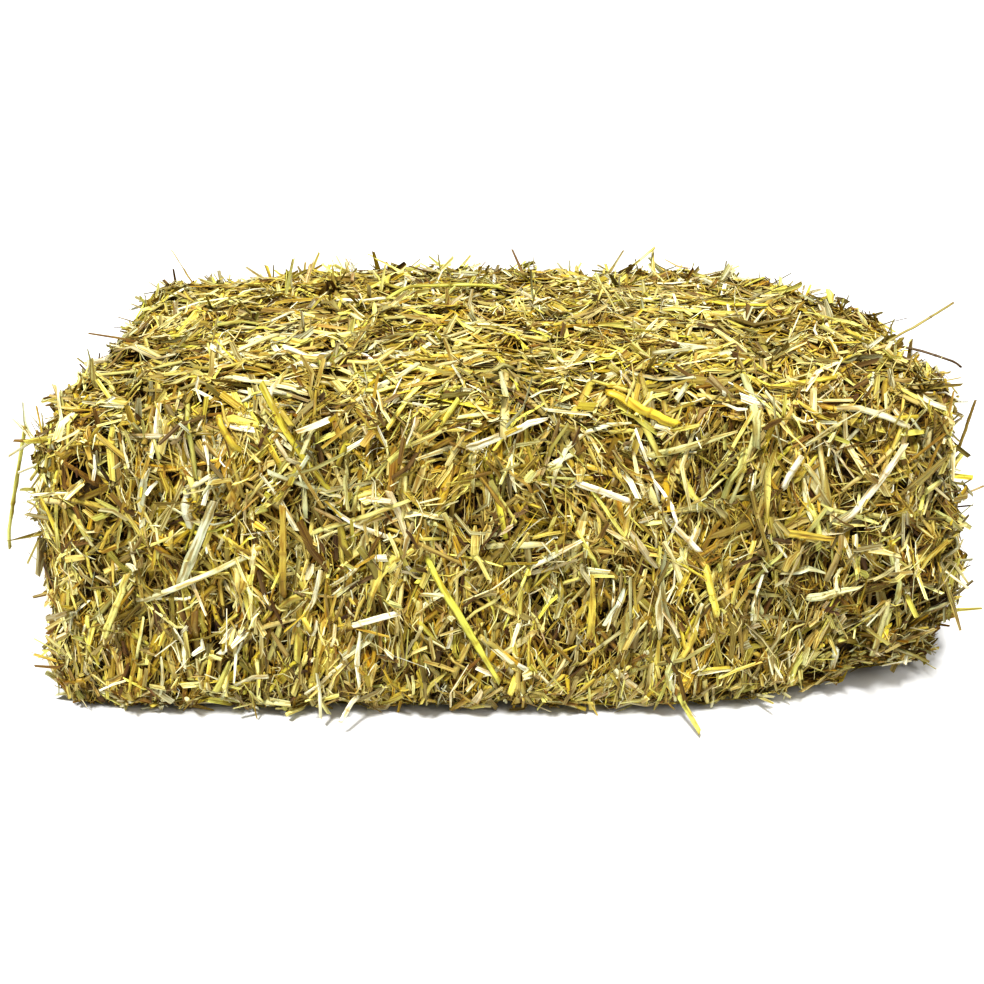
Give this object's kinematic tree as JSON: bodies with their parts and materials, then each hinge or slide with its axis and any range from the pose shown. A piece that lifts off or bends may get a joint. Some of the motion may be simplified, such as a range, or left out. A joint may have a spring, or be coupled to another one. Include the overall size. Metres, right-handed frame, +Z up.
{
  "type": "decorative straw bale",
  "caption": "Rectangular decorative bale of pressed, chopped cereal straw in upright slices, with loose straws lying on and sticking out of its soft, uneven faces.",
  "frame": {"origin": "middle of the bale's footprint, loose straws included, on the face it rests on", "axes": "+X along the bale's length towards its slanted end, +Y towards its back, +Z up"},
  "size_m": [0.5814, 0.3524, 0.2247],
  "materials": {
    "dark_straw": "dry straw, satin",
    "flake_straw": "dry chopped straw, matt",
    "golden_straw": "dry straw, satin",
    "lemon_straw": "dry straw, satin",
    "olive_straw": "dry straw, satin",
    "pale_straw": "dry straw, satin",
    "tan_straw": "dry straw, satin"
  },
  "bodies": {
    "root": {"flake_1": "flake_straw", "flake_2": "flake_straw", "flake_3": "flake_straw", "flake_4": "flake_straw", "flake_5": "flake_straw", "flake_6": "flake_straw", "flake_7": "flake_straw", "flake_8": "flake_straw", "flake_9": "flake_straw", "bent_golden_stem_front_left": "golden_straw", "bent_lemon_stem_top": "lemon_straw", "curved_stalk_past_right_end": "tan_straw", "dark_stalk_past_right_end": "dark_straw", "golden_husk_front_right": "golden_straw", "golden_husk_past_right_end": "golden_straw", "golden_leaf_back": "golden_straw", "golden_leaf_front_low": "golden_straw", "golden_leaf_past_top_left": "golden_straw", "golden_leaf_top": "golden_straw", "golden_stem_front_left": "golden_straw", "golden_stem_past_foot_back": "golden_straw", "golden_stem_right_end": "golden_straw", "golden_stem_top_right": "golden_straw", "jointed_stem_front_right": "pale_straw", "lemon_leaf_back_right": "lemon_straw", "lemon_leaf_front_right": "lemon_straw", "lemon_leaf_past_top_middle": "lemon_straw", "lemon_leaf_top_right": "lemon_straw", "lemon_stalk_past_left_end": "lemon_straw", "lemon_stem_back_left": "lemon_straw", "lemon_stem_front_corner": "lemon_straw", "lemon_stem_front_low": "lemon_straw", "lemon_stem_front_right": "lemon_straw", "lemon_stem_left_end": "lemon_straw", "lemon_stem_past_foot_front_right": "lemon_straw", "lemon_stem_past_top_back": "lemon_straw", "lemon_stem_top_left": "lemon_straw", "long_lemon_stem_front": "lemon_straw", "olive_leaf_right_corner": "olive_straw", "olive_stalk_past_top_right": "olive_straw", "pale_flat_leaf_front": "pale_straw", "pale_leaf_left_end": "pale_straw", "pale_leaf_right_end": "pale_straw", "pale_stem_back_middle": "pale_straw", "pale_stem_front_low": "pale_straw", "pale_stem_front_right": "pale_straw", "pale_stem_past_foot_front_left": "pale_straw", "pale_stem_top_back": "pale_straw", "pale_stem_top_middle": "pale_straw", "short_white_stem_front": "pale_straw", "split_leaf_front_right": "pale_straw", "split_stem_front_left": "pale_straw", "tan_stalk_past_right_end": "tan_straw", "thick_golden_stem_front": "golden_straw", "white_stem_front": "pale_straw", "wide_pale_leaf_top": "pale_straw"}
  },
  "joints": []
}
